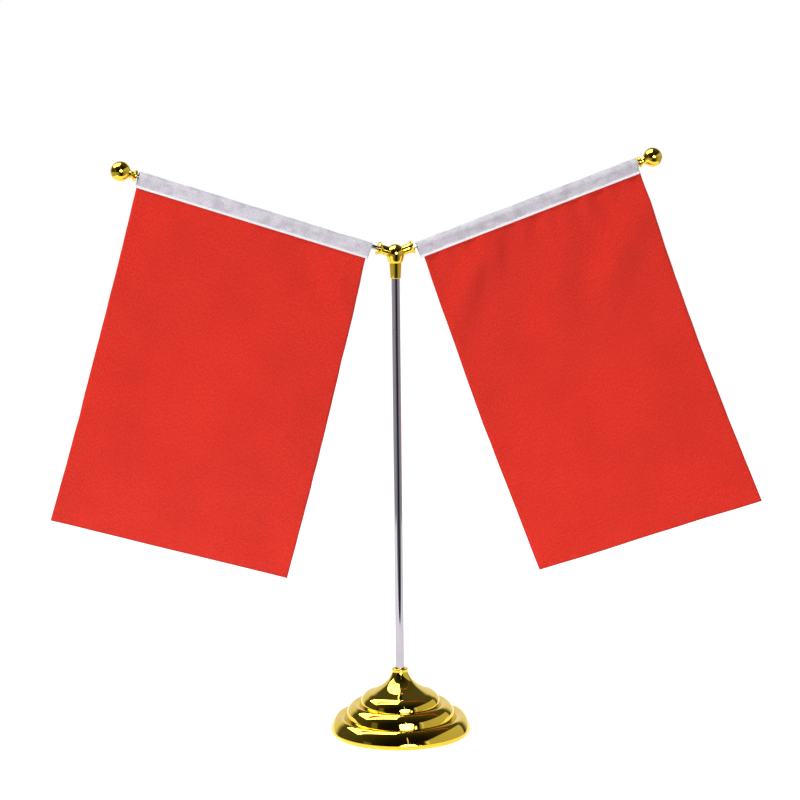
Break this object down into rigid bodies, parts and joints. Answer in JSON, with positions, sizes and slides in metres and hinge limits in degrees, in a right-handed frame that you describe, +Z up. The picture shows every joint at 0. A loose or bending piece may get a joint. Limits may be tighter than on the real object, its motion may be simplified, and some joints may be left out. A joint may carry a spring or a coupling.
{
  "type": "desk flag stand",
  "caption": "Desk flag stand: weighted stepped round base, slim pole and a Y hub holding two small cloth flags on ball-ended rods.",
  "frame": {"origin": "centre of the pad's flat underside, on the pole's axis", "axes": "+Z up along the pole; the two arms lie in the XZ plane, the right one towards +X; the flags face -Y"},
  "size_m": [0.4205, 0.0844, 0.3457],
  "materials": {
    "gold_plate": "bright gold plating, mirror polished",
    "chrome": "bright chrome plating",
    "cast_iron": "raw casting",
    "black_plastic": "moulded, matt",
    "zinc_screw": "zinc plated",
    "foam_pad": "matt foam",
    "white_cloth": "plain woven polyester",
    "red_cloth": "crepe-textured woven polyester",
    "white_thread": "sewing thread"
  },
  "bodies": {
    "base": {"base_shell": "gold_plate", "base_weight": "cast_iron", "base_cover": "black_plastic", "cover_screw_1": "zinc_screw", "cover_screw_2": "zinc_screw", "cover_screw_3": "zinc_screw", "base_pad": "foam_pad"},
    "pole": {"pole_tube": "chrome"},
    "hub": {"hub": "gold_plate"},
    "rod_left": {"rod_left": "chrome", "finial_left": "gold_plate"},
    "rod_right": {"rod_right": "chrome", "finial_right": "gold_plate"},
    "flag_left": {"heading_left": "white_cloth", "flag_left": "red_cloth", "seam_thread_left": "white_thread"},
    "flag_right": {"heading_right": "white_cloth", "flag_right": "red_cloth", "seam_thread_right": "white_thread"}
  },
  "joints": [
    {"name": "pole_pull", "type": "slide", "parent": "base", "child": "pole", "axis": [0, 0, 1], "range_m": [0, 0.03]},
    {"name": "hub_turn", "type": "hinge", "parent": "pole", "child": "hub", "pos_m": [0, 0, 0.2877], "axis": [0, 0, 1], "continuous": true},
    {"name": "rod_left_pull", "type": "slide", "parent": "hub", "child": "rod_left", "axis": [-0.9501, 0, 0.3118], "range_m": [0, 0.0075]},
    {"name": "rod_right_pull", "type": "slide", "parent": "hub", "child": "rod_right", "axis": [0.9501, 0, 0.3118], "range_m": [0, 0.0075]},
    {"name": "flag_left_swing", "type": "hinge", "parent": "rod_left", "child": "flag_left", "pos_m": [0, 0, 0.2877], "axis": [-0.9501, 0, 0.3118], "range_deg": [-85, 85]},
    {"name": "flag_right_swing", "type": "hinge", "parent": "rod_right", "child": "flag_right", "pos_m": [0, 0, 0.2877], "axis": [0.9501, 0, 0.3118], "range_deg": [-85, 85]}
  ]
}
